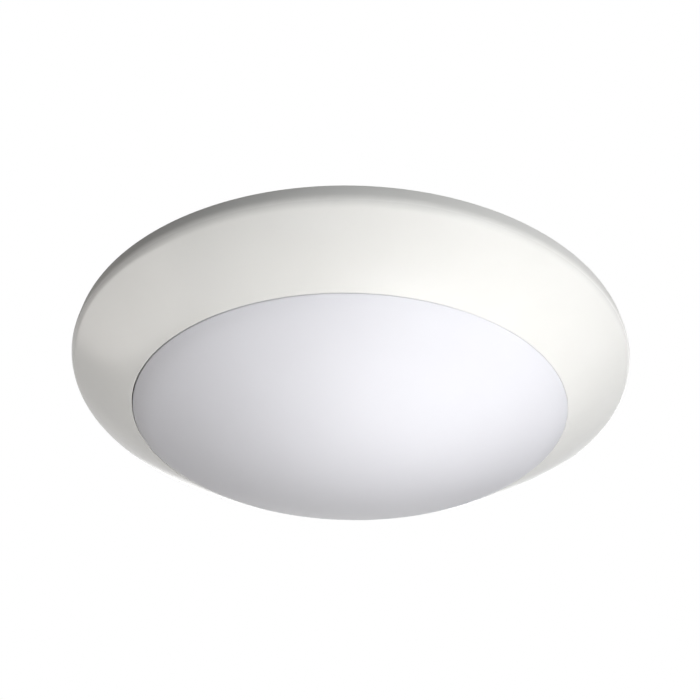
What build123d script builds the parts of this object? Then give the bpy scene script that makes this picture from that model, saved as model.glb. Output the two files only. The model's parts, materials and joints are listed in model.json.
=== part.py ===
from build123d import *
import math
import os

# A surface-mounted LED disk light. Millimetres, +Z up. The ceiling is the plane z = 0, on the light's axis:
# the light hangs below it, and only the driver's cup stands above it, in the ceiling box.

# Fits and clearances
thread_fit = 0.05           # radial, a screw in its thread
hole_play = 0.2             # radial, a screw in a plain hole
wire_play = 0.15            # radial, a lead in its hole
part_play = 0.3             # a moulded or cut piece beside its neighbour

# Mounting plate, screwed to the ceiling box
plate_thickness = 1.2
plate_lip_height = 2.0
plate_margin = 2.0          # plate past the lock plate's raised rim
box_screw_spacing = 86.1    # takes screws from 83.3 to 88.9 apart
box_slot_length = 12.0
box_slot_width = 4.8
earth_circle_radius = 46.0
earth_angle = 225.0
earth_thread_radius = 2.0
earth_length = 7.0
earth_washer_radius = 4.8
earth_washer_thickness = 0.8
earth_hex_radius = 3.9
earth_hex_height = 1.6

# Twist lock: shouldered studs on the mounting plate, keyholes in the lock plate
stud_count = 3
stud_first_angle = 45.0
stud_radius = 2.5
stud_tenon_radius = 2.1
stud_head_radius = 4.5
stud_head_thickness = 1.5
stud_head_bevel = 0.4
stud_play = 0.3             # both along the stud and around it
twist_angle = 20.0
box_screw_room = 3.4        # space for the box screws' heads
lock_plate_thickness = 1.0
lock_cup_gap = 1.0          # to the cup's flange
lock_land = 2.8             # metal outside the keyholes
lock_bend = 1.2             # inner radius of the pressed bends
lock_foot_width = 10.0
lock_foot_gap = 6.4         # foot to the pan's wall
stud_floor_gap = 0.8        # stud head to the pan

# Heat sink pan, LED board and what lies on it
pan_thickness = 1.2
pan_bend = 0.8
thermal_pad_thickness = 0.3
led_board_gap = 6.6         # board's edge to the lens
led_board_thickness = 1.6
led_edge = 10.0             # outermost ring of LEDs to the board's edge
led_ring_count = 3
led_ring_step = 6           # more LEDs on each ring outwards
led_length = 3.5
led_width = 2.8
led_height = 0.8
led_well_radius = 1.15
led_well_depth = 0.3
reflector_thickness = 0.4
led_screw_angles = (75.0, 195.0, 315.0)
led_lead_radius = 0.8
led_lead_spacing = 4.3
led_lead_inset = 2.8        # from the component circle
led_lead_angle = 33.5
lead_hole_margin = 0.65     # around the pair of leads

# Lens and its seat in the trim
aperture_radius = 73.0      # the trim's opening, where the seam shows
seam_gap = 0.4
lens_wall = 2.0
lens_flange_thickness = 1.6
lens_gasket_thickness = 1.0
seat_width = 4.0
lip_thickness = 2.9
lip_round = 0.4
dome_depth = 12.3           # crown below the trim's lip
shoulder_radius = 20.0
shoulder_slope = 37.9       # degrees, the dome's steepness at the lip
lens_edge_round = 0.4

# Trim ring
rim_gap = 0.4               # shadow gap under the ceiling
rim_corner_depth = 5.65     # ceiling to the corner of the rim and the sloping face
rim_round = 3.0
face_bulge = 0.75           # swell of the sloping face at the middle of its width
trim_wall = 2.0
deck_margin = 1.0           # lens seat to the pan's wall
boss_gap = 0.6
boss_radius = 3.2
boss_floor = 1.6            # plastic left under a boss's hole
gasket_width = 3.8
gasket_gap = 0.3            # boss to the ceiling gasket
flange_overhang = 1.7       # pan's edge to the rim's wall
flange_lift = 0.95          # pan's flange above the rim's corner

# Driver cup and the board in it
component_radius = 20.5     # board area that the components fill
rib_gap = 0.5
rib_depth = 4.5
rib_width = 6.0
rib_angles = (60.0, 180.0, 300.0)
cup_wall = 2.0
cup_corner_round = 1.5
cup_clearance = 3.0         # to the mounting plate's opening
cup_flange_width = 9.0
cup_flange_thickness = 1.6
seal_thickness = 0.5
driver_board_gap = 7.0      # pan to the board's underside
driver_board_thickness = 1.6
component_height = 16.0
board_edge_gap = 0.6
insulator_thickness = 0.5
grommet_inset = 13.5        # from the cup's inside
grommet_angle = 270.0
grommet_bore = 3.0
grommet_wall = 1.2
grommet_flange = 2.0
grommet_flange_thickness = 1.5
housing_screw_angles = (15.0, 135.0, 255.0)

# Screws and their cross recesses
pan_screw_radius = 1.5
pan_screw_head_radius = 2.8
pan_screw_head_height = 1.8
lock_screw_radius = 1.5
lock_screw_head_radius = 2.75
lock_screw_head_height = 1.4
housing_screw_radius = 1.25
housing_screw_head_radius = 2.4
housing_screw_head_height = 1.5
led_screw_radius = 1.25
led_screw_head_radius = 2.2
led_screw_head_height = 1.2
board_screw_radius = 1.0
board_screw_head_radius = 1.9
board_screw_head_height = 1.2
board_screw_length = 6.0
recess_depth = 0.8
recess_width = 0.5
pan_screw_angles = (45.0, 135.0, 225.0, 315.0)
lock_screw_angles = (0.0, 90.0, 180.0, 270.0)

# Components on the driver board, each with its inset from the component circle and its angle
terminal_inset = 5.0
terminal_angle = 270.0
terminal_length = 10.0
terminal_width = 7.0
terminal_height = 8.0
terminal_pitch = 5.0
terminal_hole_radius = 1.3
terminal_hole_depth = 5.5
fuse_inset = 4.6
fuse_angle = 223.7
fuse_radius = 3.6
fuse_height = 7.5
varistor_inset = 5.4
varistor_angle = 325.8
varistor_radius = 4.0
varistor_thickness = 3.5
varistor_lift = 1.2
varistor_leg_radius = 0.4
varistor_leg_pitch = 5.0
film_inset = 15.0
film_angle = 270.0
film_length = 10.0
film_width = 5.0
film_height = 9.0
bridge_inset = 7.4
bridge_angle = 186.6
bridge_length = 5.0
bridge_width = 4.0
bridge_height = 2.4
chip_inset = 5.4
chip_angle = 354.3
chip_length = 5.0
chip_width = 4.0
chip_height = 1.6
bulk_inset = 8.5
bulk_angle = 138.4
bulk_radius = 4.0
bulk_height = 14.0
output_inset = 4.0
output_angle = 90.0
output_radius = 3.5
output_height = 12.0
can_round = 0.6
can_groove_height = 1.8
can_groove_depth = 0.4
core_inset = 12.7
core_angle = 50.2
core_length = 12.0
core_width = 5.0
core_height = 12.0
core_leg = 3.0
core_yoke = 2.0
winding_width = 2.2
winding_round = 1.5
package_round = 0.4

# Levels, from the ceiling down
plate_under = -plate_thickness
lock_top = plate_under - box_screw_room
lock_under = lock_top - lock_plate_thickness
stud_head_top = lock_under - stud_play
stud_head_under = stud_head_top - stud_head_thickness
pan_top = stud_head_under - stud_floor_gap
pan_under = pan_top - pan_thickness
lens_flange_under = pan_under - lens_flange_thickness
seat_level = lens_flange_under - lens_gasket_thickness
lip_level = seat_level - lip_thickness
crown_level = lip_level - dome_depth
flange_under = -rim_corner_depth + flange_lift
flange_top = flange_under + pan_thickness
pad_under = pan_under - thermal_pad_thickness
led_board_under = pad_under - led_board_thickness
reflector_under = led_board_under - reflector_thickness
led_under = led_board_under - led_height

# Levels in the cup, from the pan up
cup_under = pan_top + seal_thickness
cup_flange_top = cup_under + cup_flange_thickness
board_under = pan_top + driver_board_gap
board_top = board_under + driver_board_thickness
roof_under = board_top + component_height
roof_top = roof_under + cup_wall

# Radii, from the axis out
cup_inner = component_radius + rib_gap + rib_depth
cup_outer = cup_inner + cup_wall
cup_flange_radius = cup_outer + cup_flange_width
plate_opening = cup_outer + cup_clearance
housing_screw_circle_radius = cup_outer + cup_flange_width / 2
board_radius = cup_inner - board_edge_gap
board_screw_circle_radius = cup_inner - rib_depth / 2
lock_inner = cup_flange_radius + lock_cup_gap
lens_radius = aperture_radius - seam_gap
seat_radius = aperture_radius + seat_width
deck_radius = seat_radius + deck_margin
lock_foot_radius = deck_radius - lock_foot_gap
lock_rim = lock_foot_radius - lock_foot_width
lock_screw_circle_radius = lock_rim + lock_foot_width / 2
entry_radius = stud_head_radius + stud_play
stud_circle_radius = lock_rim - lock_land - entry_radius
plate_radius = lock_rim + plate_margin
led_board_radius = lens_radius - lens_wall - led_board_gap
led_pitch = (led_board_radius - led_edge) / led_ring_count
led_screw_circle_radius = led_pitch * (led_ring_count - 0.5)
lead_hole_radius = led_lead_spacing / 2 + led_lead_radius + lead_hole_margin
pan_wall_radius = deck_radius + pan_thickness
pan_screw_circle_radius = pan_wall_radius + boss_gap + boss_radius
gasket_inner = pan_screw_circle_radius + boss_radius + gasket_gap
flange_radius = gasket_inner + gasket_width
rim_radius = flange_radius + flange_overhang + trim_wall

stud_angles = [stud_first_angle + 360 / stud_count * i for i in range(stud_count)]


def polar(radius, degrees):
    """The point at this radius and angle around the axis."""
    return (radius * math.cos(math.radians(degrees)), radius * math.sin(math.radians(degrees)))


# Places on the driver board and in the cup's roof
terminal_place = polar(component_radius - terminal_inset, terminal_angle)
fuse_place = polar(component_radius - fuse_inset, fuse_angle)
varistor_place = polar(component_radius - varistor_inset, varistor_angle)
film_place = polar(component_radius - film_inset, film_angle)
bridge_place = polar(component_radius - bridge_inset, bridge_angle)
chip_place = polar(component_radius - chip_inset, chip_angle)
bulk_place = polar(component_radius - bulk_inset, bulk_angle)
output_place = polar(component_radius - output_inset, output_angle)
core_place = polar(component_radius - core_inset, core_angle)
lead_place = polar(component_radius - led_lead_inset, led_lead_angle)
grommet_place = polar(cup_inner - grommet_inset, grommet_angle)


def rod(radius, low, high, place=(0, 0)):
    """A round bar along Z, between two levels."""
    return Pos(place[0], place[1], (low + high) / 2) * Cylinder(radius, high - low)


def tube(inner, outer, low, high, place=(0, 0)):
    """A ring along Z, between two levels."""
    return rod(outer, low, high, place) - rod(inner, low, high, place)


def block(size, low, place=(0, 0), turn=0.0):
    """A box of the given size that stands on a level."""
    return Pos(place[0], place[1], low + size[2] / 2) * Rot(0, 0, turn) * Box(*size)


def band(inner, outer, low, high):
    """A rectangle of a turned profile: radius along X, height along Y."""
    return Pos((inner + outer) / 2, (low + high) / 2) * Rectangle(outer - inner, high - low)


def turned(profile):
    """The profile turned round the light's axis."""
    return revolve(Plane.XZ * profile, Axis.Z)


def corner(shape, point):
    """The vertex of a profile that lies nearest to a point."""
    return min(shape.vertices(), key=lambda v: math.hypot(v.X - point[0], v.Y - point[1]))


def edge_ring(solid, radius, level):
    """The round edge of a turned solid at this radius and level."""
    rounds = solid.edges().filter_by(GeomType.CIRCLE)
    return min(rounds, key=lambda e: abs(e.radius - radius) + abs(e.arc_center.Z - level))


def screw(thread, head, height, seat, tip, place):
    """A pan-head screw: head on the seat level, thread to the tip level, cross recess in the head."""
    up = 1 if seat > tip else -1
    crown = seat + up * height
    body = rod(thread, min(seat, tip), max(seat, tip), place)
    cap = rod(head, min(seat, crown), max(seat, crown), place)
    cap = fillet(cap.edges().filter_by(GeomType.CIRCLE).sort_by(Axis.Z)[-1 if up > 0 else 0], height / 2)
    arm = 1.2 * thread
    floor = crown - up * recess_depth
    for size in ((2 * arm, recess_width, recess_depth), (recess_width, 2 * arm, recess_depth)):
        cap -= block(size, min(floor, crown), place)
    return body + cap


def ring_of(make, radius, angles):
    """Copies of a piece on a circle, as separate solids."""
    return Compound(children=[make(polar(radius, angle)) for angle in angles])


def save(name, shape):
    """Write one piece, and print its size."""
    export_step(shape, f"parts/{name}.step")
    box = shape.bounding_box().size
    print(f"{name}: {box.X:.1f} x {box.Y:.1f} x {box.Z:.1f}")


def mounting_plate():
    plate = tube(plate_opening, plate_radius, plate_under, 0)
    plate += tube(plate_radius - plate_thickness, plate_radius, plate_under - plate_lip_height, 0)
    slot = SlotOverall(box_slot_length, box_slot_width)
    for angle in (0, 90, 180, 270):
        cutter = Rot(0, 0, angle) * Pos(box_screw_spacing / 2, 0, plate_under) * slot
        plate -= extrude(cutter, plate_thickness, dir=(0, 0, 1))
    for angle in stud_angles:
        plate -= rod(stud_tenon_radius + thread_fit, plate_under, 0, polar(stud_circle_radius, angle))
    plate -= rod(earth_thread_radius + thread_fit, plate_under, 0, polar(earth_circle_radius, earth_angle))
    return plate


def lock_stud(place):
    head = rod(stud_head_radius, stud_head_under, stud_head_top, place)
    head = chamfer(head.edges().filter_by(GeomType.CIRCLE).sort_by(Axis.Z)[0], stud_head_bevel)
    shoulder = rod(stud_radius, stud_head_top, plate_under, place)
    return head + shoulder + rod(stud_tenon_radius, plate_under, 0, place)


def earth_screw():
    place = polar(earth_circle_radius, earth_angle)
    washer_under = plate_under - earth_washer_thickness
    hex_under = washer_under - earth_hex_height
    hexagon = Pos(place[0], place[1], hex_under) * RegularPolygon(earth_hex_radius, 6)
    head = extrude(hexagon, earth_hex_height, dir=(0, 0, 1))
    head -= block((2 * earth_hex_radius, recess_width * 2, recess_depth), hex_under, place)
    washer = rod(earth_washer_radius, washer_under, plate_under, place)
    return head + washer + rod(earth_thread_radius, plate_under, plate_under + earth_length, place)


def lock_plate():
    """A pressed hat section: raised ring with keyholes, wall, and a foot flange on the pan."""
    wall_inner = lock_rim - lock_plate_thickness
    foot_top = pan_top + lock_plate_thickness
    profile = Polygon(
        (lock_inner, lock_top),
        (lock_rim, lock_top),
        (lock_rim, foot_top),
        (lock_foot_radius, foot_top),
        (lock_foot_radius, pan_top),
        (wall_inner, pan_top),
        (wall_inner, lock_under),
        (lock_inner, lock_under),
        align=None,
    )
    profile = fillet(corner(profile, (lock_rim, lock_top)), lock_bend)
    profile = fillet(corner(profile, (lock_rim, foot_top)), lock_bend / 2)
    plate = turned(profile)
    slot_width = 2 * (stud_radius + stud_play)
    for angle in stud_angles:
        track = SlotArc(CenterArc((0, 0), stud_circle_radius, angle - twist_angle, twist_angle), slot_width)
        plate -= extrude(Pos(0, 0, lock_under) * track, lock_plate_thickness, dir=(0, 0, 1))
        plate -= rod(entry_radius, lock_under, lock_top, polar(stud_circle_radius, angle - twist_angle))
    for angle in lock_screw_angles:
        hole = polar(lock_screw_circle_radius, angle)
        plate -= rod(lock_screw_radius + hole_play, pan_top, foot_top, hole)
    return plate


def heat_sink_pan():
    profile = Polygon(
        (0, pan_top),
        (deck_radius, pan_top),
        (deck_radius, flange_top),
        (flange_radius, flange_top),
        (flange_radius, flange_under),
        (pan_wall_radius, flange_under),
        (pan_wall_radius, pan_under),
        (0, pan_under),
        align=None,
    )
    for point in ((deck_radius, pan_top), (pan_wall_radius, flange_under)):
        profile = fillet(corner(profile, point), pan_bend / 2)
    for point in ((deck_radius, flange_top), (pan_wall_radius, pan_under)):
        profile = fillet(corner(profile, point), pan_bend)
    pan = turned(profile)
    for angle in pan_screw_angles:
        hole = polar(pan_screw_circle_radius, angle)
        pan -= rod(pan_screw_radius + hole_play, flange_under, flange_top, hole)
    threads = [(lock_screw_radius, lock_screw_circle_radius, lock_screw_angles)]
    threads += [(housing_screw_radius, housing_screw_circle_radius, housing_screw_angles)]
    threads += [(led_screw_radius, led_screw_circle_radius, led_screw_angles)]
    for thread, circle, angles in threads:
        for angle in angles:
            pan -= rod(thread + thread_fit, pan_under, pan_top, polar(circle, angle))
    return pan - rod(lead_hole_radius, pan_under, pan_top, lead_place)


def lead_places():
    """The two LED leads, side by side around their shared holes."""
    x, y = lead_place
    dx, dy = polar(led_lead_spacing / 2, led_lead_angle + 90)
    return ((x + dx, y + dy), (x - dx, y - dy))


def led_sites():
    """Each LED's place and angle."""
    sites = []
    for ring in range(1, led_ring_count + 1):
        step = 360 / (ring * led_ring_step)
        angles = [step * i for i in range(ring * led_ring_step)]
        sites += [(polar(led_pitch * ring, angle), angle) for angle in angles]
    return sites


def led_package(place, turn):
    body = block((led_length, led_width, led_height), led_under, place, turn)
    return body - rod(led_well_radius, led_under, led_under + led_well_depth, place)


def led_board():
    board = rod(led_board_radius, led_board_under, pad_under)
    for angle in led_screw_angles:
        hole = polar(led_screw_circle_radius, angle)
        board -= rod(led_screw_radius + hole_play, led_board_under, pad_under, hole)
    for place in lead_places():
        board -= rod(led_lead_radius + wire_play, led_board_under, pad_under, place)
    return board


def thermal_pad():
    pad = rod(led_board_radius, pad_under, pan_under)
    for angle in led_screw_angles:
        hole = polar(led_screw_circle_radius, angle)
        pad -= rod(led_screw_radius + hole_play, pad_under, pan_under, hole)
    return pad - rod(lead_hole_radius, pad_under, pan_under, lead_place)


def reflector_sheet():
    sheet = rod(led_board_radius, reflector_under, led_board_under)
    window = (led_length + 2 * part_play, led_width + 2 * part_play, reflector_thickness)
    cuts = [block(window, reflector_under, place, turn) for place, turn in led_sites()]
    for angle in led_screw_angles:
        head = polar(led_screw_circle_radius, angle)
        cuts.append(rod(led_screw_head_radius + part_play, reflector_under, led_board_under, head))
    cuts.append(rod(lead_hole_radius, reflector_under, led_board_under, lead_place))
    return sheet - cuts


def dome_outline(wall):
    """The lens's dome as a profile, set in by a wall: a crown arc that runs into a tighter shoulder arc."""
    steep = math.radians(shoulder_slope)
    edge = Vector(lens_radius, lip_level)
    shoulder = edge - Vector(math.sin(steep), -math.cos(steep)) * shoulder_radius
    rise = shoulder.Y - crown_level
    crown_radius = (shoulder.X**2 + rise**2 - shoulder_radius**2) / (2 * (rise - shoulder_radius))
    centre = Vector(0, crown_level + crown_radius)
    join = centre + (shoulder - centre).normalized() * (crown_radius - wall)
    edge = shoulder + (edge - shoulder).normalized() * (shoulder_radius - wall)
    middle = shoulder + ((join - shoulder).normalized() + (edge - shoulder).normalized()).normalized() * (
        shoulder_radius - wall
    )
    half = math.asin(join.X / (crown_radius - wall)) / 2
    crown_middle = centre + Vector(math.sin(half), -math.cos(half)) * (crown_radius - wall)
    bottom = Vector(0, crown_level + wall)
    top = Vector(0, pan_under)
    rim = Vector(edge.X, pan_under)
    return make_face(
        [
            ThreePointArc(bottom, crown_middle, join),
            ThreePointArc(join, middle, edge),
            Line(edge, rim),
            Line(rim, top),
            Line(top, bottom),
        ]
    )


def diffuser_lens():
    flange = band(0, seat_radius - part_play, lens_flange_under, pan_under)
    inside = dome_outline(lens_wall) & band(0, lens_radius - lens_wall, crown_level, pan_under)
    lens = turned(dome_outline(0) + flange - inside)
    return fillet(edge_ring(lens, lens_radius, lip_level), lens_edge_round)


def lens_gasket():
    return tube(aperture_radius + part_play, seat_radius - part_play, seat_level, lens_flange_under)


def sloping_face(inset):
    """The trim's outside as a profile, set in by a wall: upright rim, then the swelling face to the lip."""
    slope = math.atan2(-rim_corner_depth - lip_level, rim_radius - aperture_radius)
    inward = Vector(-math.sin(slope), math.cos(slope))
    rim = Vector(rim_radius - inset, -rim_corner_depth + inset * (1 - math.sin(slope)) / math.cos(slope))
    lip = Vector(aperture_radius, lip_level) + inward * inset
    middle = (rim + lip) / 2 - inward * face_bulge
    top = Vector(rim.X, -rim_gap)
    return make_face(
        [
            Line(Vector(0, -rim_gap), top),
            Line(top, rim),
            ThreePointArc(rim, middle, lip),
            Line(lip, Vector(0, lip.Y)),
            Line(Vector(0, lip.Y), Vector(0, -rim_gap)),
        ]
    )


def trim_ring():
    outside = fillet(corner(sloping_face(0), (rim_radius, -rim_corner_depth)), rim_round)
    seat = band(0, seat_radius, seat_level, -rim_gap)
    hollow = sloping_face(trim_wall) - band(0, seat_radius, lip_level, -rim_gap) + seat
    ring = turned(outside - hollow - band(0, aperture_radius, lip_level, -rim_gap))
    ring = fillet(edge_ring(ring, aperture_radius, lip_level), lip_round)
    body = turned(outside)
    for angle in pan_screw_angles:
        place = polar(pan_screw_circle_radius, angle)
        ring += rod(boss_radius, lip_level, flange_under, place) & body
    for angle in pan_screw_angles:
        place = polar(pan_screw_circle_radius, angle)
        ring -= rod(pan_screw_radius + thread_fit, pan_screw_tip, flange_under, place)
    return ring


def face_level(radius):
    """The level of the trim's straight slope, without its swell, at this radius."""
    share = (rim_radius - radius) / (rim_radius - aperture_radius)
    return -rim_corner_depth + share * (lip_level + rim_corner_depth)


pan_screw_tip = face_level(pan_screw_circle_radius + pan_screw_radius) + boss_floor


def ceiling_gasket():
    return tube(gasket_inner, flange_radius, flange_top, 0)


def driver_housing():
    cup = rod(cup_outer, cup_under, roof_top)
    cup = fillet(edge_ring(cup, cup_outer, roof_top), cup_corner_round)
    cup += rod(cup_flange_radius, cup_under, cup_flange_top)
    cup -= rod(cup_inner, cup_under, roof_under)
    for angle in rib_angles:
        size = (rib_depth + cup_wall / 2, rib_width, roof_under - board_top)
        place = polar(cup_inner - rib_depth + size[0] / 2, angle)
        cup += block(size, board_top, place, angle)
        pilot = polar(board_screw_circle_radius, angle)
        cup -= rod(board_screw_radius + thread_fit, board_top, board_under + board_screw_length, pilot)
    for angle in housing_screw_angles:
        hole = polar(housing_screw_circle_radius, angle)
        cup -= rod(housing_screw_radius + hole_play, cup_under, cup_flange_top, hole)
    return cup - rod(grommet_bore + grommet_wall, roof_under, roof_top, grommet_place)


def supply_grommet():
    neck = grommet_bore + grommet_wall
    low = roof_under - grommet_flange_thickness
    high = roof_top + grommet_flange_thickness
    body = rod(neck, roof_under, roof_top, grommet_place)
    body += rod(neck + grommet_flange, low, roof_under, grommet_place)
    body += rod(neck + grommet_flange, roof_top, high, grommet_place)
    return body - rod(grommet_bore, low, high, grommet_place)


def housing_seal():
    seal = tube(cup_inner, cup_flange_radius, pan_top, cup_under)
    for angle in housing_screw_angles:
        hole = polar(housing_screw_circle_radius, angle)
        seal -= rod(housing_screw_radius + hole_play, pan_top, cup_under, hole)
    return seal


def driver_board():
    board = rod(board_radius, board_under, board_top)
    for angle in rib_angles:
        hole = polar(board_screw_circle_radius, angle)
        board -= rod(board_screw_radius + hole_play, board_under, board_top, hole)
    return board


def insulator_disc():
    disc = rod(board_radius, pan_top, pan_top + insulator_thickness)
    return disc - rod(lead_hole_radius, pan_top, pan_top + insulator_thickness, lead_place)


def input_terminal():
    body = block((terminal_length, terminal_width, terminal_height), board_top, terminal_place)
    top = board_top + terminal_height
    for side in (-0.5, 0.5):
        hole = (terminal_place[0] + side * terminal_pitch, terminal_place[1])
        body -= rod(terminal_hole_radius, top - terminal_hole_depth, top, hole)
    return body


def rounded_package(size, place):
    """A moulded component body on the driver board, its upright edges rounded."""
    body = block(size, board_top, place)
    return fillet(body.edges().filter_by(Axis.Z), package_round)


def can(radius, height, place):
    """An electrolytic capacitor: rounded can with a crimp groove near its foot."""
    body = rod(radius, board_top, board_top + height, place)
    body = fillet(body.edges().filter_by(GeomType.CIRCLE).sort_by(Axis.Z)[-1], can_round)
    groove = board_top + can_groove_height
    return body - tube(radius - can_groove_depth, radius, groove, groove + can_groove_depth, place)


def fuse():
    body = rod(fuse_radius, board_top, board_top + fuse_height, fuse_place)
    return fillet(body.edges().filter_by(GeomType.CIRCLE).sort_by(Axis.Z)[-1], can_round)


def varistor():
    centre = board_top + varistor_lift + varistor_radius
    disc = Pos(*varistor_place, centre) * Rot(0, 90, 0) * Cylinder(varistor_radius, varistor_thickness)
    disc = fillet(disc.edges().filter_by(GeomType.CIRCLE), varistor_thickness / 4)
    for side in (-0.5, 0.5):
        leg = (varistor_place[0], varistor_place[1] + side * varistor_leg_pitch)
        disc += rod(varistor_leg_radius, board_top, centre, leg)
    return disc


def transformer_core():
    """A ferrite core: outer frame and a middle leg, with a window on each side for the winding."""
    core = block((core_length, core_width, core_height), board_top, core_place)
    window = (core_length - core_leg - 2 * core_yoke) / 2
    size = (window, core_width, core_height - 2 * core_yoke)
    for side in (-1, 1):
        place = (core_place[0] + side * (core_leg + window) / 2, core_place[1])
        core -= block(size, board_top + core_yoke, place)
    return core


def transformer_winding():
    height = core_height - 2 * core_yoke - 2 * wire_play
    low = board_top + core_yoke + wire_play
    leg = (core_leg + 2 * wire_play, core_width + 2 * wire_play)
    outer = (leg[0] + 2 * winding_width, leg[1] + 2 * winding_width, height)
    coil = block(outer, low, core_place)
    coil = fillet(coil.edges().filter_by(Axis.Z), winding_round)
    return coil - block((leg[0], leg[1], height), low, core_place)


def led_leads():
    return Compound(children=[rod(led_lead_radius, led_board_under, board_under, p) for p in lead_places()])


def pan_screw(place):
    sizes = (pan_screw_radius, pan_screw_head_radius, pan_screw_head_height)
    return screw(*sizes, flange_top, pan_screw_tip, place)


def lock_screw(place):
    sizes = (lock_screw_radius, lock_screw_head_radius, lock_screw_head_height)
    return screw(*sizes, pan_top + lock_plate_thickness, pan_under, place)


def housing_screw(place):
    sizes = (housing_screw_radius, housing_screw_head_radius, housing_screw_head_height)
    return screw(*sizes, cup_flange_top, pan_under, place)


def led_screw(place):
    sizes = (led_screw_radius, led_screw_head_radius, led_screw_head_height)
    return screw(*sizes, led_board_under, pan_top, place)


def board_screw(place):
    sizes = (board_screw_radius, board_screw_head_radius, board_screw_head_height)
    return screw(*sizes, board_under, board_under + board_screw_length, place)


os.makedirs("parts", exist_ok=True)

save("mounting_plate", mounting_plate())
save("lock_studs", ring_of(lock_stud, stud_circle_radius, stud_angles))
save("earth_screw", earth_screw())

save("trim_ring", trim_ring())
save("diffuser_lens", diffuser_lens())
save("lens_gasket", lens_gasket())
save("ceiling_gasket", ceiling_gasket())
save("heat_sink_pan", heat_sink_pan())
save("pan_screws", ring_of(pan_screw, pan_screw_circle_radius, pan_screw_angles))

save("thermal_pad", thermal_pad())
save("led_board", led_board())
save("led_packages", Compound(children=[led_package(place, turn) for place, turn in led_sites()]))
save("led_phosphor", Compound(children=[
    rod(led_well_radius, led_under, led_under + led_well_depth, place) for place, _ in led_sites()]))
save("led_board_screws", ring_of(led_screw, led_screw_circle_radius, led_screw_angles))
save("reflector_sheet", reflector_sheet())

save("lock_plate", lock_plate())
save("lock_plate_screws", ring_of(lock_screw, lock_screw_circle_radius, lock_screw_angles))

save("driver_housing", driver_housing())
save("housing_seal", housing_seal())
save("housing_screws", ring_of(housing_screw, housing_screw_circle_radius, housing_screw_angles))
save("supply_grommet", supply_grommet())
save("insulator_disc", insulator_disc())
save("driver_board", driver_board())
save("driver_board_screws", ring_of(board_screw, board_screw_circle_radius, rib_angles))
save("input_terminal", input_terminal())
save("fuse", fuse())
save("varistor", varistor())
save("film_capacitor", rounded_package((film_length, film_width, film_height), film_place))
save("bridge_rectifier", rounded_package((bridge_length, bridge_width, bridge_height), bridge_place))
save("controller_chip", rounded_package((chip_length, chip_width, chip_height), chip_place))
save("bulk_capacitor", can(bulk_radius, bulk_height, bulk_place))
save("output_capacitor", can(output_radius, output_height, output_place))
save("transformer_core", transformer_core())
save("transformer_winding", transformer_winding())
save("led_leads", led_leads())

print(f"diameter {2 * rim_radius:.1f}, lens {2 * lens_radius:.1f}, below the ceiling {-crown_level:.1f}")
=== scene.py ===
# %% [markdown]
# # A disk light for the ceiling
# This lesson dresses the solids of a small LED ceiling light: a moulded white trim ring, an opal dome held in
# it, and behind them the sheet-metal pan, the twist-lock plates and the cup that holds the driver.
# The solids arrive from the CAD side as a fixed frame, in metres, with the ceiling at z = 0 and the light
# below it.

# %% Load the solids
import bmesh
import bpy
import json
import math
from mathutils import Matrix, Vector


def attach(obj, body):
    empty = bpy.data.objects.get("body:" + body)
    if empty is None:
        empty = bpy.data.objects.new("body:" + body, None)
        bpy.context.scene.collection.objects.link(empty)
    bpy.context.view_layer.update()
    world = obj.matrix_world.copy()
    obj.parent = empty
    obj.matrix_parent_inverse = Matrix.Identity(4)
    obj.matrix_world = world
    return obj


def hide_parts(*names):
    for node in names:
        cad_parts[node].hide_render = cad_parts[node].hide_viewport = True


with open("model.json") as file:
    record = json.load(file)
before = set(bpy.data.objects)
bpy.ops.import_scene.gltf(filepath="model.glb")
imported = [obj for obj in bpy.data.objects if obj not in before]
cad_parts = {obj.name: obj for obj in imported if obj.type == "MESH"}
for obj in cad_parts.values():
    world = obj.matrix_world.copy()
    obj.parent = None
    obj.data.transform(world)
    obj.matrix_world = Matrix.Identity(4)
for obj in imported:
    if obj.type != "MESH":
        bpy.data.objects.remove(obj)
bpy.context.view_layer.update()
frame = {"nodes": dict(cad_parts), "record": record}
MM = 0.001


def in_mm(lengths):
    """Lengths in metres, as rounded millimetres for a printed line."""
    return [round(length / MM, 1) for length in lengths]


# %% [markdown]
# ## The camera
# The picture was taken from close by with a wide lens, from below and in front, looking up at the light.
# A camera can be steered to its target with a Track To constraint, but then the light would sit in the
# middle. Here it is placed by its distance and its height angle, and then turned by three small angles of
# its own.

# %% Place the camera
distance = 201.767 * MM
below = math.radians(32.729)
own_turns = ((0.066, "Y"), (5.597, "X"), (1.079, "Z"))
back = Vector((0, -math.cos(below), -math.sin(below)))
side = Vector((1, 0, 0))
aim = Matrix((side, back.cross(side), back)).transposed()
for degrees, axis in own_turns:
    aim = aim @ Matrix.Rotation(math.radians(degrees), 3, axis)
bpy.ops.object.camera_add()
camera = bpy.context.object
camera.name = "camera_below"
camera.data.lens = 28.108
camera.data.sensor_width = 36.0
camera.data.clip_start = 0.01
camera.matrix_world = Matrix.Translation(back * distance) @ aim.to_4x4()
bpy.context.scene.camera = camera
print("camera at", in_mm(camera.location), "mm")

# %% [markdown]
# ## A plain studio
# The light hangs alone on white. The world is white for the rays that the eye, a mirror or a glass sends out,
# and a dim warm grey for all others, so the background is white and the plastic still keeps its shading.
# A pale floor lies 2.4 m below, where a room has it, out of the picture. It is treated the same way, but
# keeps a share of its own shading, so that a shadow still shows on it.

# %% A helper for the white background


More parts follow.
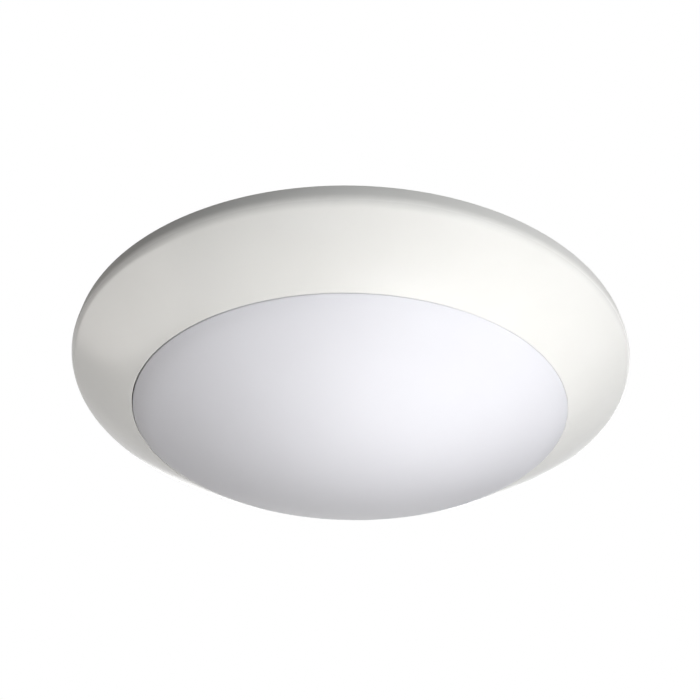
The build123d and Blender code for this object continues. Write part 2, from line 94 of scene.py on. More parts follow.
def whiten(tree, plain, output, kind, share):
    """Mix a plain shader with white, by this share, for the rays of the eye, of mirrors and of glass."""
    white = tree.nodes.new(kind)
    white.inputs["Color"].default_value = (1, 1, 1, 1)
    path = tree.nodes.new("ShaderNodeLightPath")
    seen = path.outputs["Is Camera Ray"]
    for ray in ("Is Glossy Ray", "Is Transmission Ray"):
        either = tree.nodes.new("ShaderNodeMath")
        either.operation = "MAXIMUM"
        tree.links.new(seen, either.inputs[0])
        tree.links.new(path.outputs[ray], either.inputs[1])
        seen = either.outputs[0]
    part = tree.nodes.new("ShaderNodeMath")
    part.operation = "MULTIPLY"
    part.inputs[1].default_value = share
    mix = tree.nodes.new("ShaderNodeMixShader")
    tree.links.new(seen, part.inputs[0])
    tree.links.new(part.outputs[0], mix.inputs[0])
    tree.links.new(plain.outputs[0], mix.inputs[1])
    tree.links.new(white.outputs[0], mix.inputs[2])
    tree.links.new(mix.outputs[0], output.inputs[0])
    print("white for", round(100 * share), "% of what the eye sees of", tree.name)


# %% World
world = bpy.data.worlds.new("studio")
bpy.context.scene.world = world
world.use_nodes = True
grey = world.node_tree.nodes["Background"]
grey.inputs["Color"].default_value = (1.0, 0.97, 0.93, 1)
grey.inputs["Strength"].default_value = 0.03
whiten(world.node_tree, grey, world.node_tree.nodes["World Output"], "ShaderNodeBackground", share=1.0)
bpy.context.scene.view_settings.view_transform = "Standard"

# %% Floor
floor_level = -2.4
floor_size = 200
bpy.ops.object.select_all(action="DESELECT")
bpy.ops.mesh.primitive_plane_add(size=floor_size, location=(0, 0, floor_level))
floor = bpy.context.object
floor.name = "floor"
pale = bpy.data.materials.new("floor_pale")
pale.use_nodes = True
shader = pale.node_tree.nodes["Principled BSDF"]
shader.inputs["Base Color"].default_value = (0.82, 0.82, 0.81, 1)
shader.inputs["Roughness"].default_value = 0.9
whiten(pale.node_tree, shader, pale.node_tree.nodes["Material Output"], "ShaderNodeEmission", share=0.85)
floor.data.materials.append(pale)
print("floor", floor_size, "m wide at", floor_level, "m")

# %% [markdown]
# ## Lamps
# A soft lamp stands near the camera, below and to the right, so the left half of the trim falls off to grey.
# A smaller one, closer in, gives the dome its bright middle. A third, out to the right and nearer to the
# level of the ceiling, lights the rim with a cooler light. A broad, warmer panel on the left fills the dark
# side.
# The last two are behind and above. They light the back of the part, which the picture doesn't show, and they
# are very broad, because a small lamp would blind in the bare metal.
# A lamp can be kept out of reflections. Only the broad ones are mirrored, so no small hot spots show in the
# gloss.

# %% Six soft lamps


def soft_lamp(name, place, size, power, colour, mirrored=False):
    """A round lamp that looks at the light, in metres and watts. The camera doesn't see it."""
    bpy.ops.object.light_add(type="AREA", location=place)
    lamp = bpy.context.object
    lamp.name = name
    lamp.data.shape = "DISK"
    lamp.data.size = size
    lamp.data.energy = power
    lamp.data.color = colour
    lamp.rotation_euler = Vector(place).to_track_quat("Z", "Y").to_euler()
    lamp.visible_camera = False
    lamp.visible_glossy = mirrored
    print(name, [round(c, 2) for c in place], power, "W")


neutral, cream = (1.0, 1.0, 1.0), (1.0, 0.99, 0.98)
cool, warm = (0.90, 0.945, 1.0), (1.0, 0.965, 0.93)
soft_lamp("key_lamp", (0.141, -0.201, -0.172), size=0.15, power=0.368, colour=cream)
soft_lamp("low_lamp", (0.038, -0.052, -0.128), size=0.06, power=0.087, colour=neutral)
soft_lamp("right_lamp", (0.503, -0.599, -0.166), size=0.30, power=1.3, colour=cool)
soft_lamp("left_lamp", (-0.693, 0.097, -0.388), size=0.65, power=1.65, colour=warm, mirrored=True)
soft_lamp("back_lamp", (0.0, 0.82, 0.34), size=1.0, power=3.2, colour=neutral, mirrored=True)
soft_lamp("top_lamp", (0.25, 0.35, 0.70), size=1.8, power=5.5, colour=neutral, mirrored=True)

# %% [markdown]
# ## Finishes
# Each finish is a Principled shader fed by noise patterns. They read Object coordinates, so a pattern has its
# real size in metres on every piece. A slow noise makes the colour drift, a finer one makes the gloss uneven,
# and a third one raises the grain. The finishes are kept by the name of the slot that they are for.

# %% A helper for colour and gloss
NOISE_RANGE = (0.3, 0.7)  # most of a noise pattern's values
FINER = 7  # the gloss pattern's scale, in times the colour's
finishes = {}


def map_range(tree, value, source, target):
    """Map the values from one range to another."""
    node = tree.nodes.new("ShaderNodeMapRange")
    for name, number in zip(("From Min", "From Max", "To Min", "To Max"), (*source, *target)):
        node.inputs[name].default_value = number
    tree.links.new(value, node.inputs["Value"])
    return node.outputs["Result"]


def finish(slot, dark, light, drift, rough, metallic=0.0):
    """A shader whose colour drifts between two tones, and its roughness between two values."""
    made = bpy.data.materials.new(slot + "_finish")
    made.use_nodes = True
    tree = made.node_tree
    shader = tree.nodes["Principled BSDF"]
    place = tree.nodes.new("ShaderNodeTexCoord").outputs["Object"]
    noises = []
    for scale in (drift, drift * FINER):
        noise = tree.nodes.new("ShaderNodeTexNoise")
        noise.inputs["Scale"].default_value = scale
        noise.inputs["Detail"].default_value = 3
        tree.links.new(place, noise.inputs["Vector"])
        noises.append(noise.outputs["Fac"])
    ramp = tree.nodes.new("ShaderNodeValToRGB")
    for element, colour, position in zip(ramp.color_ramp.elements, (dark, light), NOISE_RANGE):
        element.color = (*colour, 1)
        element.position = position
    tree.links.new(noises[0], ramp.inputs["Fac"])
    tree.links.new(ramp.outputs["Color"], shader.inputs["Base Color"])
    tree.links.new(map_range(tree, noises[1], NOISE_RANGE, rough), shader.inputs["Roughness"])
    shader.inputs["Metallic"].default_value = metallic
    finishes[slot] = made
    print("finish", slot)
    return tree, shader, place


# %% A helper for grain


def raise_grain(tree, shader, place, scale, height, kind="ShaderNodeTexNoise", output="Fac", stretch=None):
    """Give the shader a bump from a pattern of this scale, in cells per metre, and height, in metres."""
    pattern = tree.nodes.new(kind)
    pattern.inputs["Scale"].default_value = scale
    if stretch:
        mapping = tree.nodes.new("ShaderNodeMapping")
        mapping.inputs["Scale"].default_value = stretch
        tree.links.new(place, mapping.inputs["Vector"])
        place = mapping.outputs["Vector"]
    bump = tree.nodes.new("ShaderNodeBump")
    bump.inputs["Distance"].default_value = height
    bump.inputs["Strength"].default_value = 0.5
    tree.links.new(place, pattern.inputs["Vector"])
    tree.links.new(pattern.outputs[output], bump.inputs["Height"])
    tree.links.new(bump.outputs["Normal"], shader.inputs["Normal"])
    return pattern


# %% [markdown]
# ### Moulded white and opal
# The trim is a warm white plastic. Its face is moulded smooth, and its upright rim is matt, so the roughness
# rises with the height. The lens is a cooler white: light goes a little way into it, so it is softer and
# slightly bluish.

# %% Trim finish
matt_levels = (-5.4 * MM, -4.4 * MM)  # the face ends and the rim begins
matt_added = (0.0, 0.55)
tree, shader, place = finish(
    "trim_white", (0.79, 0.785, 0.76), (0.82, 0.815, 0.79), drift=35, rough=(0.21, 0.26))
shader.inputs["Specular IOR Level"].default_value = 0.7
raise_grain(tree, shader, place, scale=2600, height=0.000012)
split = tree.nodes.new("ShaderNodeSeparateXYZ")
total = tree.nodes.new("ShaderNodeMath")
tree.links.new(place, split.inputs["Vector"])
tree.links.new(shader.inputs["Roughness"].links[0].from_socket, total.inputs[0])
tree.links.new(map_range(tree, split.outputs["Z"], matt_levels, matt_added), total.inputs[1])
tree.links.new(total.outputs[0], shader.inputs["Roughness"])

# %% Lens finish
tree, shader, place = finish(
    "lens_opal", (0.735, 0.735, 0.775), (0.755, 0.755, 0.795), drift=25, rough=(0.40, 0.44))
shader.inputs["Specular IOR Level"].default_value = 0.1
raise_grain(tree, shader, place, scale=900, height=0.000006)

# %% [markdown]
# ### Metals
# The plates are zinc-plated sheet, bluish and satin, and the pan is mill-finish aluminium. Both come off a
# roll, so their grain runs one way: the noise is stretched along the sheet by a Mapping node. The screws are
# bright zinc, and the earth screw is dyed green.

# %% Metal finishes
rolled_x, rolled_y = (60, 2200, 2200), (1800, 45, 1800)  # cells per metre, few along the roll
sheet_grain = {"scale": 1.0, "height": 0.00001}
screw_grain = {"scale": 3000, "height": 0.000006}
metal = finish(
    "plated_steel", (0.36, 0.375, 0.40), (0.47, 0.485, 0.505), drift=90, rough=(0.30, 0.44), metallic=1.0)
raise_grain(*metal, **sheet_grain, stretch=rolled_x)
metal = finish(
    "pan_aluminium", (0.48, 0.485, 0.49), (0.57, 0.575, 0.58), drift=60, rough=(0.32, 0.46), metallic=1.0)
raise_grain(*metal, **sheet_grain, stretch=rolled_y)
metal = finish(
    "screw_steel", (0.42, 0.43, 0.44), (0.55, 0.55, 0.54), drift=420, rough=(0.29, 0.40), metallic=1.0)
raise_grain(*metal, **screw_grain)
metal = finish(
    "earth_green", (0.035, 0.24, 0.085), (0.07, 0.33, 0.13), drift=420, rough=(0.29, 0.40), metallic=0.6)
raise_grain(*metal, **screw_grain)

# %% [markdown]
# ### Foam, rubber and the cup's plastic
# Closed-cell foam shows its cells, about 0.7 mm wide, so its grain is a Voronoi pattern. The rubber is matt
# and nearly smooth. The cup is a cheaper plastic than the trim, with the sand-like grain of a spark-eroded
# mould.

# %% Foam, rubber and cup finishes
foam_look = finish("foam_grey", (0.12, 0.12, 0.125), (0.17, 0.17, 0.175), drift=160, rough=(0.82, 0.95))
raise_grain(*foam_look, scale=1400, height=0.0003, kind="ShaderNodeTexVoronoi", output="Distance")
rubber_look = finish(
    "grommet_black", (0.018, 0.018, 0.019), (0.032, 0.032, 0.033), drift=300, rough=(0.5, 0.65))
raise_grain(*rubber_look, scale=2400, height=0.00001)
cup_look = finish("cup_grey", (0.66, 0.66, 0.64), (0.71, 0.71, 0.69), drift=45, rough=(0.46, 0.58))
raise_grain(*cup_look, scale=2300, height=0.00004)

# %% [markdown]
# ### What is inside
# The boards, the LEDs and the driver's components can only be seen when the light is taken apart. They still
# get a finish each, from a table: two tones, drift, roughness, and the grain's scale and height.

# %% Inside finishes
inside = {
    "silicone_clear": ((0.70, 0.70, 0.67), (0.78, 0.78, 0.75), 150, (0.30, 0.45), 1500, 0.00001),
    "pad_grey": ((0.37, 0.39, 0.42), (0.44, 0.46, 0.49), 220, (0.70, 0.85), 2500, 0.00003),
    "board_white": ((0.80, 0.80, 0.78), (0.85, 0.85, 0.83), 60, (0.28, 0.40), 900, 0.000008),
    "led_white": ((0.82, 0.82, 0.79), (0.87, 0.87, 0.84), 700, (0.35, 0.50), 5000, 0.00001),
    "phosphor_yellow": ((0.78, 0.56, 0.10), (0.90, 0.70, 0.17), 1500, (0.30, 0.50), 9000, 0.00001),
    "reflector_white": ((0.86, 0.86, 0.86), (0.90, 0.90, 0.90), 70, (0.50, 0.65), 2000, 0.000008),
    "insulator_amber": ((0.68, 0.61, 0.43), (0.76, 0.69, 0.51), 90, (0.18, 0.32), 600, 0.00001),
    "board_green": ((0.025, 0.17, 0.065), (0.05, 0.25, 0.10), 260, (0.25, 0.42), 1800, 0.00001),
    "terminal_white": ((0.76, 0.76, 0.73), (0.83, 0.83, 0.80), 300, (0.38, 0.52), 3000, 0.00001),
    "package_black": ((0.018, 0.018, 0.02), (0.035, 0.035, 0.038), 500, (0.45, 0.65), 6000, 0.00001),
    "varistor_blue": ((0.035, 0.15, 0.46), (0.06, 0.22, 0.58), 350, (0.14, 0.28), 1200, 0.00002),
    "film_yellow": ((0.72, 0.58, 0.11), (0.82, 0.69, 0.18), 300, (0.25, 0.40), 2500, 0.00001),
    "sleeve_dark": ((0.035, 0.04, 0.075), (0.055, 0.065, 0.11), 300, (0.18, 0.32), 1500, 0.00001),
    "ferrite_dark": ((0.045, 0.045, 0.05), (0.075, 0.075, 0.08), 600, (0.55, 0.75), 4500, 0.00002),
    "lead_red": ((0.50, 0.035, 0.035), (0.62, 0.06, 0.05), 400, (0.32, 0.45), 3000, 0.00001),
}
for slot, (dark, light, drift, rough, scale, height) in inside.items():
    raise_grain(*finish(slot, dark, light, drift, rough), scale, height)

# %% [markdown]
# ### The winding's wire
# The transformer's wire is 0.3 mm thick and lies round and round, so its grain is a Wave pattern whose bands
# are stacked up the axis.

# %% Winding finish
wire_scale = 1047  # bands 0.3 mm apart
copper = finish(
    "winding_copper", (0.48, 0.19, 0.075), (0.68, 0.31, 0.14), drift=600, rough=(0.22, 0.36), metallic=0.85)
wire = raise_grain(*copper, scale=wire_scale, height=0.00015, kind="ShaderNodeTexWave")
wire.bands_direction = "Z"
print(len(finishes), "finishes made")

# %% [markdown]
# ## The trim ring
# The trim is one injection moulding: an upright rim, a gently swelling face, and a lip round the lens.
# It could be cut from a cylinder with bevels. It is quicker to draw half of its section and spin it about the
# axis, the way a turned part is thought of. The section starts as one vertex, which is extruded from corner
# to corner. Its lengths are in millimetres, as on a drawing.

# %% Draw a section
MERGE = 0.005 * MM


def draw_section(name, corners):
    """One vertex, extruded through corners given as radius and height. Left in edit mode."""
    bpy.ops.object.select_all(action="DESELECT")
    r, z = corners[0]
    bpy.ops.mesh.primitive_plane_add(size=MM, location=(r * MM, 0, z * MM))
    piece = bpy.context.object
    piece.name = piece.data.name = name
    bpy.ops.object.mode_set(mode="EDIT")
    bpy.ops.mesh.merge(type="CENTER")
    for (r0, z0), (r1, z1) in zip(corners, corners[1:]):
        step = ((r1 - r0) * MM, 0, (z1 - z0) * MM)
        bpy.ops.mesh.extrude_vertices_move(TRANSFORM_OT_translate={"value": step})
    bpy.ops.mesh.select_all(action="SELECT")
    bpy.ops.mesh.remove_doubles(threshold=MERGE)
    return piece


# %% Round its corners
ON_POINT = 0.01


def pick(piece, wanted):
    """In edit mode, select the vertices whose place in millimetres passes a test."""
    bpy.ops.mesh.select_mode(type="VERT")
    bpy.ops.mesh.select_all(action="DESELECT")
    mesh = bmesh.from_edit_mesh(piece.data)
    for vertex in mesh.verts:
        vertex.select = bool(wanted(piece.matrix_world @ vertex.co / MM))
    mesh.select_flush_mode()
    bmesh.update_edit_mesh(piece.data)


def round_corner(piece, corner, cut, segments=6):
    """Round one corner of the section, cutting back this far along its two edges."""
    pick(piece, lambda p: math.hypot(p.x - corner[0], p.z - corner[1]) < ON_POINT)
    bpy.ops.mesh.bevel(offset=cut * MM, segments=segments, affect="VERTICES")


# %% Spin it, and put it on its body
SMOOTH_BELOW = math.radians(35)


def spin_section(piece, steps=256, place=(0, 0)):
    """Spin the section round the light's axis into a closed shape, and move it to its place."""
    bpy.ops.mesh.select_all(action="SELECT")
    bpy.ops.mesh.spin(steps=steps, angle=2 * math.pi, center=(0, 0, 0), axis=(0, 0, 1))
    bpy.ops.mesh.select_all(action="SELECT")
    bpy.ops.mesh.remove_doubles(threshold=MERGE)
    bpy.ops.mesh.normals_make_consistent(inside=False)
    bpy.ops.transform.translate(value=(place[0] * MM, place[1] * MM, 0))
    bpy.ops.object.mode_set(mode="OBJECT")
    bpy.ops.object.transform_apply(location=True, rotation=True, scale=True)
    bpy.ops.object.shade_smooth_by_angle(angle=SMOOTH_BELOW)


def put_on(piece, body, node, material):
    """Give the piece its finish, and let it stand for a solid on that solid's body."""
    piece.data.materials.clear()
    piece.data.materials.append(material)
    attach(piece, body)
    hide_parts(node)
    print(piece.name, len(piece.data.polygons), "faces", in_mm(piece.dimensions), "mm")


# %% [markdown]
# ### The swelling face
# The face is an arc. Its chord runs from the rim's corner to the lip, and its swell at the middle gives the
# radius. The inside of the face is the same arc, a wall's thickness further in.

# %% Two arcs for the face
rim, corner_level = 94.0, -5.65
lip, lip_level = 73.0, -14.9
wall = 2.0
bulge = 0.75
seat, seat_level = 77.0, -12.0  # where the lens's collar lies


def swell(start, end, steps):
    """Points on an arc from start to end that swells by the bulge at its middle, to its right-hand side."""
    chord = Vector(end) - Vector(start)
    radius = chord.length**2 / (8 * bulge) + bulge / 2
    normal = Vector((-chord.y, chord.x)).normalized()
    centre = (Vector(start) + Vector(end)) / 2 + normal * (bulge - radius)
    first = Vector(start) - centre
    whole = first.angle_signed(Vector(end) - centre)
    return [tuple(centre + Matrix.Rotation(-whole * i / steps, 2) @ first) for i in range(steps + 1)]


slope = math.atan2(corner_level - lip_level, rim - lip)
inner_rim = (rim - wall, corner_level + wall * (1 - math.sin(slope)) / math.cos(slope))
inner_lip = (lip - wall * math.sin(slope), lip_level + wall * math.cos(slope))
outer_face = swell((rim, corner_level), (lip, lip_level), steps=8)
inner_face = [point for point in swell(inner_rim, inner_lip, steps=16) if point[0] > seat]
print("outer face", [(round(r, 2), round(z, 2)) for r, z in outer_face])
print("inner face", [(round(r, 2), round(z, 2)) for r, z in inner_face])

# %% Trim ring
rim_top = -0.4
rim_cut = 1.956
edge_cut = 0.3
section = [(rim, rim_top), *outer_face, (lip, seat_level), (seat, seat_level), (seat, inner_face[-1][1])]
section += [*reversed(inner_face), (rim - wall, rim_top), (rim, rim_top)]
trim = draw_section("moulded_trim", section)
round_corner(trim, (rim, corner_level), rim_cut, segments=10)
round_corner(trim, (lip, lip_level), edge_cut)
round_corner(trim, (rim, rim_top), edge_cut, segments=4)
round_corner(trim, (rim - wall, rim_top), edge_cut, segments=4)
spin_section(trim)
print(len(section), "corners drawn, spun into", len(trim.data.polygons), "faces")

# %% [markdown]
# ## Tools for holes and bosses
# Holes and bosses could be cut into a spun mesh by hand, but that upsets its even rings. Here each is made as
# a solid of its own, copied round the axis, and a Boolean takes the whole set out of the piece or adds it in
# one step.

# %% A round tool, and a slot


def around(radius, degrees):
    """A place on a circle about the light's axis."""
    return radius * math.cos(math.radians(degrees)), radius * math.sin(math.radians(degrees))


def round_tool(place, radius, low, high, reach=0.0):
    """A round tool between two levels. With a reach, half of it is moved outwards to make a slot."""
    bpy.ops.object.select_all(action="DESELECT")
    sides = 48
    x, y = place
    bpy.ops.mesh.primitive_cylinder_add(
        vertices=sides, radius=radius * MM, depth=(high - low) * MM,
        location=(x * MM, y * MM, (low + high) / 2 * MM),
        rotation=(0, 0, math.atan2(y, x) + math.pi / sides))
    tool = bpy.context.object
    if reach:
        outwards = Vector((x, y, 0)).normalized()
        bpy.ops.object.mode_set(mode="EDIT")
        pick(tool, lambda p: (p - Vector((x, y, 0))).dot(outwards) > 0)
        bpy.ops.transform.translate(value=outwards * reach * MM)
        bpy.ops.object.mode_set(mode="OBJECT")
    return tool


# %% Copy tools, and use them


def copy_around(tool, count):
    """The tool and its copies, evenly spaced round the axis, each with its own mesh."""
    tools = [tool]
    while len(tools) < count:
        bpy.ops.object.select_all(action="DESELECT")
        tools[-1].select_set(True)
        bpy.context.view_layer.objects.active = tools[-1]
        bpy.ops.object.duplicate()
        bpy.ops.transform.rotate(value=2 * math.pi / count, orient_axis="Z", center_override=(0, 0, 0))
        tools.append(bpy.context.object)
    return tools


def combine(piece, tools, operation):
    """Join the tools into one, and take them out of the piece or add them to it."""
    bpy.ops.object.select_all(action="DESELECT")
    for tool in tools:
        tool.select_set(True)
    bpy.context.view_layer.objects.active = tools[0]
    if len(tools) > 1:
        bpy.ops.object.join()
    bpy.ops.object.transform_apply(location=True, rotation=True, scale=True)
    bpy.ops.object.select_all(action="DESELECT")
    piece.select_set(True)
    bpy.context.view_layer.objects.active = piece
    boolean = piece.modifiers.new("combine", "BOOLEAN")
    boolean.operation = operation
    boolean.object = tools[0]
    bpy.ops.object.modifier_apply(modifier=boolean.name)
    bpy.data.objects.remove(tools[0])
    bpy.ops.object.shade_smooth_by_angle(angle=SMOOTH_BELOW)
    print(piece.name, operation.lower(), len(tools), "tools,", len(piece.data.polygons), "faces")


# %% [markdown]
# ### The trim's bosses
# Four bosses inside the trim take the screws that hold the pan. One is a cylinder with a hole: its top is
# inset and pushed down. Its foot is cut off along the slope, inside the trim's wall, so that nothing shows
# outside.

# %% Bosses
boss_circle, boss_angle = 83.0, 45
boss_radius, boss_foot, boss_top = 3.2, -14.0, -4.7
hole_radius, hole_depth = 1.55, 3.5
foot_cover = 0.6  # trim left outside the foot
LAYER = 0.1  # how far a flat end's vertices are looked for
boss = round_tool(around(boss_circle, boss_angle), boss_radius, boss_foot, boss_top)
bpy.ops.object.mode_set(mode="EDIT")
pick(boss, lambda p: p.z > boss_top - LAYER)
bpy.ops.mesh.inset(thickness=(boss_radius - hole_radius) * MM)
bpy.ops.mesh.extrude_region_move(TRANSFORM_OT_translate={"value": (0, 0, -hole_depth * MM)})
bpy.ops.mesh.select_all(action="SELECT")
foot = Vector((*around(math.sin(slope), boss_angle), -math.cos(slope)))
foot_level = corner_level + (boss_circle - rim) * math.tan(slope) + foot_cover
inside_wall = Vector((*around(boss_circle, boss_angle), foot_level))
bpy.ops.mesh.bisect(plane_co=inside_wall * MM, plane_no=foot, use_fill=True, clear_outer=True)
bpy.ops.object.mode_set(mode="OBJECT")
combine(trim, copy_around(boss, 4), "UNION")
put_on(trim, "fixture", "trim_ring", finishes["trim_white"])

# %% [markdown]
# ## The lens
# The lens is one opal moulding with a flat collar that the pan clamps down inside the trim. A flattened half
# sphere would be quicker, but it would stand upright at its edge. Seen from below the lens is a shallow crown
# that runs into a tighter shoulder, so its section is drawn from two arcs that share a tangent where they
# meet. The lens has a little play in its seat and lies to the right, so the seam is open on the left and
# closes on the right.

# %% Two arcs for the dome
lens, lens_wall = 72.8, 2.0
dome_depth = 12.3
shoulder, steep = 20.0, math.radians(37.9)
crown_level = lip_level - dome_depth
turn = Vector((lens - shoulder * math.sin(steep), lip_level + shoulder * math.cos(steep)))
rise = turn.y - crown_level
crown = (turn.x**2 + rise**2 - shoulder**2) / (2 * (rise - shoulder))
top = Vector((0, crown_level + crown))
meet = math.atan2(turn.x, top.y - turn.y)
crown_steps, shoulder_steps = 24, 14


def dome(inset):
    """The dome's section from its crown to its edge, set in by a wall."""
    points = []
    for i in range(crown_steps + 1):
        angle = meet * i / crown_steps
        arm = crown - inset
        points.append((top.x + arm * math.sin(angle), top.y - arm * math.cos(angle)))
    for i in range(1, shoulder_steps + 1):
        angle = meet + (steep - meet) * i / shoulder_steps
        arm = shoulder - inset
        points.append((turn.x + arm * math.sin(angle), turn.y - arm * math.cos(angle)))
    return points


print("crown radius", round(crown, 1), "mm, meets the shoulder at", round(math.degrees(meet), 1), "degrees")

# %% Lens
lens_place = (0.17, -0.07)
collar, collar_under, collar_over = 76.7, -11.0, -9.4
lens_edge = 0.15
lens_in = lens - lens_wall
inner = [point for point in dome(lens_wall) if point[0] < lens_in]
section = [*dome(0.0), (lens, collar_under), (collar, collar_under), (collar, collar_over)]
section += [(lens_in, collar_over), (lens_in, inner[-1][1]), *reversed(inner)]
opal = draw_section("opal_lens", section)
round_corner(opal, (lens, lip_level), lens_edge, segments=4)
spin_section(opal, place=lens_place)
put_on(opal, "fixture", "diffuser_lens", finishes["lens_opal"])

# %% [markdown]
# ## The foam ring
# A ring of closed-cell foam is stuck on the pan's flange and seals the light against the ceiling. It could
# stay a plain ring, but cut foam is never quite sharp: its corners are soft and its sides swell a little
# under pressure. So the section gets rounded corners and a swell, and then every point is moved by a few
# hundredths of a millimetre.

# %% Foam ring
foam_in, foam_out, foam_top, foam_foot = 86.5, 90.3, -0.03, -3.47
foam_swell, foam_round, side_round, foam_uneven = 0.12, 0.45, 0.9, 0.03
edge_in, edge_out = foam_in + foam_swell, foam_out - foam_swell
middle = (foam_top + foam_foot) / 2
section = [(edge_in, foam_top), (edge_out, foam_top), (foam_out, middle), (edge_out, foam_foot)]
section += [(edge_in, foam_foot), (foam_in, middle), (edge_in, foam_top)]
foam = draw_section("foam_ring", section)
for r in (edge_in, edge_out):
    for z in (foam_top, foam_foot):
        round_corner(foam, (r, z), foam_round, segments=5)
pick(foam, lambda p: abs(p.z - middle) < ON_POINT)
bpy.ops.mesh.bevel(offset=side_round * MM, segments=4, affect="VERTICES")
spin_section(foam, steps=320)
bpy.ops.object.mode_set(mode="EDIT")
bpy.ops.mesh.select_all(action="SELECT")
bpy.ops.transform.vertex_random(offset=foam_uneven * MM, seed=7)
bpy.ops.object.mode_set(mode="OBJECT")
put_on(foam, "fixture", "ceiling_gasket", finishes["foam_grey"])

# %% [markdown]
# ## The mounting plate
# This plate is screwed to the ceiling box. It is punched and pressed from zinc-plated sheet: a ring with a
# turned-down lip, and slots for the box screws. The lip has a bend radius, so the ring is a spun section with
# one large round. A slot is a round tool whose far half is moved along, and one Boolean takes out the slots
# and the holes.

# %% Plate and lip
plate_in, plate_out, sheet, plate_lip = 30.5, 63.6, 1.2, -3.2
bend_out, bend_in, sheet_edge = 1.4, 0.3, 0.15
lip_in = plate_out - sheet
section = [(plate_in, 0), (plate_out, 0), (plate_out, plate_lip), (lip_in, plate_lip)]
section += [(lip_in, -sheet), (plate_in, -sheet), (plate_in, 0)]
plate = draw_section("pressed_plate", section)
round_corner(plate, (plate_out, 0), bend_out, segments=8)
round_corner(plate, (lip_in, -sheet), bend_in, segments=4)
for corner in ((plate_in, 0), (plate_in, -sheet), (plate_out, plate_lip), (lip_in, plate_lip)):
    round_corner(plate, corner, sheet_edge, segments=3)
spin_section(plate, steps=192)
print("plate spun from", len(section), "corners")

# %% Slots and holes
through_plate = (-2.0, 1.0)
slot_start, slot_radius, slot_reach = 39.45, 2.4, 7.2
stud_place, stud_hole = around(54.0, 45), 2.15
earth_place, earth_hole = around(46.0, 225), 2.05
tools = copy_around(round_tool(around(slot_start, 0), slot_radius, *through_plate, reach=slot_reach), 4)
tools += copy_around(round_tool(stud_place, stud_hole, *through_plate), 3)
tools.append(round_tool(earth_place, earth_hole, *through_plate))
combine(plate, tools, "DIFFERENCE")
put_on(plate, "ceiling_mount", "mounting_plate", finishes["plated_steel"])

# %% [markdown]
# ## The driver's cup
# The cup stands in the ceiling box and holds the driver's board. It is a plain moulding: a pot with a flange,
# and three ribs inside that take the board's screws. The pot is spun, with the rounds a mould needs. The ribs
# are blocks that a Boolean adds, and the holes for the screws and the grommet come out afterwards.

# %% Pot and flange
cup_in, cup_out, cup_edge = 25.5, 27.5, 36.5
roof, roof_in, flange_top, cup_foot = 18.4, 16.4, -6.1, -7.7
section = [(0, roof), (cup_out, roof), (cup_out, flange_top), (cup_edge, flange_top), (cup_edge, cup_foot)]
section += [(cup_in, cup_foot), (cup_in, roof_in), (0, roof_in)]
cup = draw_section("moulded_cup", section)
cup_rounds = (
    ((cup_out, roof), 1.5, 8),
    ((cup_out, flange_top), 0.8, 5),
    ((cup_edge, flange_top), 0.4, 4),
    ((cup_edge, cup_foot), 0.2, 3),
    ((cup_in, cup_foot), 0.2, 3),
    ((cup_in, roof_in), 0.6, 4),
)
for corner, cut, segments in cup_rounds:
    round_corner(cup, corner, cut, segments)
spin_section(cup, steps=192)
print("pot spun from", len(section), "corners")

# %% Ribs
rib_angle = 60
rib_place = (*around(23.75, rib_angle), 8.6)
rib_size = (5.5, 6.0, 16.4)
rib_round = 0.3
bpy.ops.object.select_all(action="DESELECT")
bpy.ops.mesh.primitive_cube_add(
    size=MM, location=[c * MM for c in rib_place], scale=rib_size, rotation=(0, 0, math.radians(rib_angle)))
rib = bpy.context.object
bpy.ops.object.transform_apply(location=False, rotation=False, scale=True)
bpy.ops.object.mode_set(mode="EDIT")
bpy.ops.mesh.bevel(offset=rib_round * MM, segments=3, affect="EDGES")
bpy.ops.object.mode_set(mode="OBJECT")
combine(cup, copy_around(rib, 3), "UNION")

# %% Holes in the cup
in_rib, through_flange, through_roof = (0.0, 4.8), (-9.0, -5.0), (16.0, 19.0)
rib_screw_at, rib_hole = around(23.25, rib_angle), 1.05
flange_screw_at, screw_hole = around(32.0, 15), 1.45
grommet_place, neck = (0, -12.0), 4.2
tools = copy_around(round_tool(rib_screw_at, rib_hole, *in_rib), 3)
tools += copy_around(round_tool(flange_screw_at, screw_hole, *through_flange), 3)
tools.append(round_tool(grommet_place, neck, *through_roof))
combine(cup, tools, "DIFFERENCE")
put_on(cup, "fixture", "driver_housing", finishes["cup_grey"])

# %% [markdown]
# ## The grommet
# A rubber grommet lines the hole where the supply leads go into the cup. Its two flanges grip the roof, and
# its lips are well rounded so that they don't cut a lead. It could be put together from two rings and a tube,
# but the real one is a single moulding, so it is one more spun section, moved off the axis when it is done.

# %% Grommet
bore, brim, low, high = 3.0, 6.2, 14.9, 19.9
brim_round = 0.6
section = [(bore, low), (brim, low), (brim, roof_in), (neck, roof_in), (neck, roof), (brim, roof)]
section += [(brim, high), (bore, high), (bore, low)]
grommet = draw_section("rubber_grommet", section)
for corner in ((brim, low), (brim, high), (bore, low), (bore, high)):
    round_corner(grommet, corner, brim_round, segments=5)
spin_section(grommet, steps=64, place=grommet_place)
put_on(grommet, "fixture", "supply_grommet", finishes["grommet_black"])

# %% [markdown]
# ## Seals and the heat pad
# Three more soft pieces are clamped inside: a silicone ring under the lens's collar, a seal under the cup's
# flange, and the pad that takes the heat of the LED board to the pan. Each could be a flat disc or ring, but
# moulded silicone has no sharp edges, so each is a thin spun section with rounded corners. The holes for the
# screws and the leads come out afterwards.

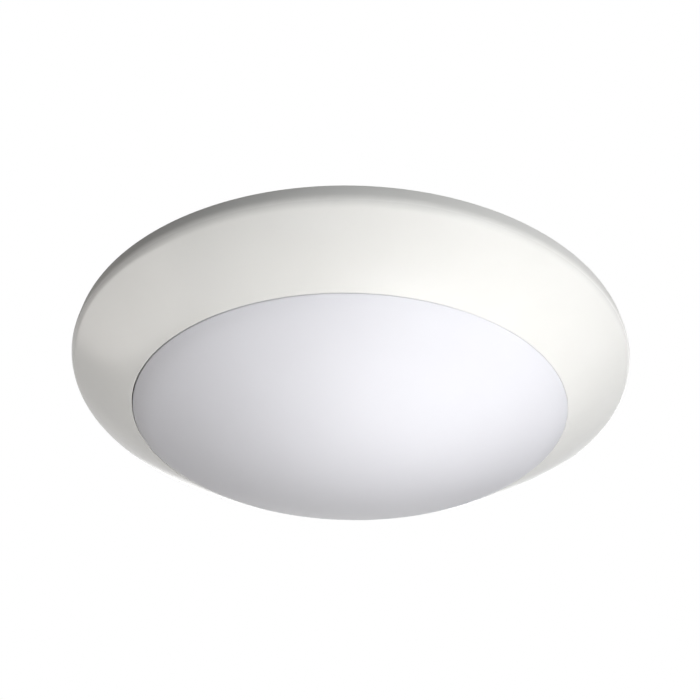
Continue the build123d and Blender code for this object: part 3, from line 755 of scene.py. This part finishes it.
# %% Seals and pad
beyond = 1.0  # how far a tool stands out on either side
lead_place, lead_hole = around(17.7, 33.5), 3.6
board_screw_at = around(45.0, 75)
soft_rings = (
    ("silicone_ring", "lens_gasket", "silicone_clear", 73.3, collar, seat_level, collar_under, 0.3, None),
    ("cup_seal", "housing_seal", "silicone_clear", cup_in, cup_edge, -8.2, cup_foot, 0.15, flange_screw_at),
    ("heat_pad", "thermal_pad", "pad_grey", 0.0, 64.0, -9.7, collar_over, 0.1, board_screw_at),
)
for name, node, slot, r_in, r_out, under, over, cut, screw_at in soft_rings:
    section = [(r_in, over), (r_out, over), (r_out, under), (r_in, under)]
    section += section[:1] if r_in else []
    ring = draw_section(name, section)
    for corner in section[:4]:
        if corner[0]:
            round_corner(ring, corner, cut, segments=4)
    spin_section(ring, steps=192)
    if screw_at:
        tools = copy_around(round_tool(screw_at, screw_hole, under - beyond, over + beyond), 3)
        if node == "thermal_pad":
            tools.append(round_tool(lead_place, lead_hole, under - beyond, over + beyond))
        combine(ring, tools, "DIFFERENCE")
    put_on(ring, "fixture", node, finishes[slot])

# %% [markdown]
# ## The earth screw
# A green screw in the mounting plate takes the earth lead. Its head has a washer, six flats and a slot, and
# its tip comes through the plate. A thread could be swept as a helix. At this size rings look the same, so
# the shank's zigzag is part of the spun section. The flats are a cylinder with six sides, added on, and a
# block cuts the slot.

# %% Shank and washer
root, crest, pitch, first_crest, crests = 1.65, 2.0, 0.7, -0.85, 9
washer, washer_under, washer_round = 4.8, -2.0, 0.2
tip, tip_level = 1.3, 5.8
section = [(0, washer_under), (washer, washer_under), (washer, -sheet), (root, -sheet)]
for ridge in range(crests):
    level = first_crest + pitch * ridge
    section += [(crest, level), (root, level + pitch / 2)]
section += [(tip, tip_level), (0, tip_level)]
earth = draw_section("threaded_earth_screw", section)
for level in (washer_under, -sheet):
    round_corner(earth, (washer, level), washer_round, segments=4)
spin_section(earth, steps=48, place=earth_place)
print("shank with", crests, "crests spun")

# %% Flats and slot
head_under, flats_radius, head_round = -3.6, 3.9, 0.3
sunk = 0.2  # how far the flats go into the washer
head_over = washer_under + sunk
slot_size = (8.0, 1.0, 1.6)
bpy.ops.object.select_all(action="DESELECT")
bpy.ops.mesh.primitive_cylinder_add(
    vertices=6, radius=flats_radius * MM, depth=(head_over - head_under) * MM,
    location=[c * MM for c in (*earth_place, (head_over + head_under) / 2)], rotation=(0, 0, math.pi / 6))
flats = bpy.context.object
bpy.ops.object.mode_set(mode="EDIT")
pick(flats, lambda p: p.z < head_under + LAYER)
bpy.ops.mesh.bevel(offset=head_round * MM, segments=3, affect="EDGES")
bpy.ops.object.mode_set(mode="OBJECT")
combine(earth, [flats], "UNION")
bpy.ops.object.select_all(action="DESELECT")
slot_place = [c * MM for c in (*earth_place, head_under)]
bpy.ops.mesh.primitive_cube_add(size=MM, location=slot_place, scale=slot_size)
combine(earth, [bpy.context.object], "DIFFERENCE")
put_on(earth, "ceiling_mount", "earth_screw", finishes["earth_green"])

# %% [markdown]
# ## The other solids
# The pan, the lock plate, the screws and all that is inside the cup and the lens keep their shapes from the
# CAD side. They only need their finishes. The record says which slot each solid takes its finish from, so one
# loop does it.

# %% Dress the solids
for row in frame["record"]["subparts"]:
    solid = frame["nodes"][row["node"]]
    solid.data.materials.clear()
    solid.data.materials.append(finishes[row["material_slot"]])
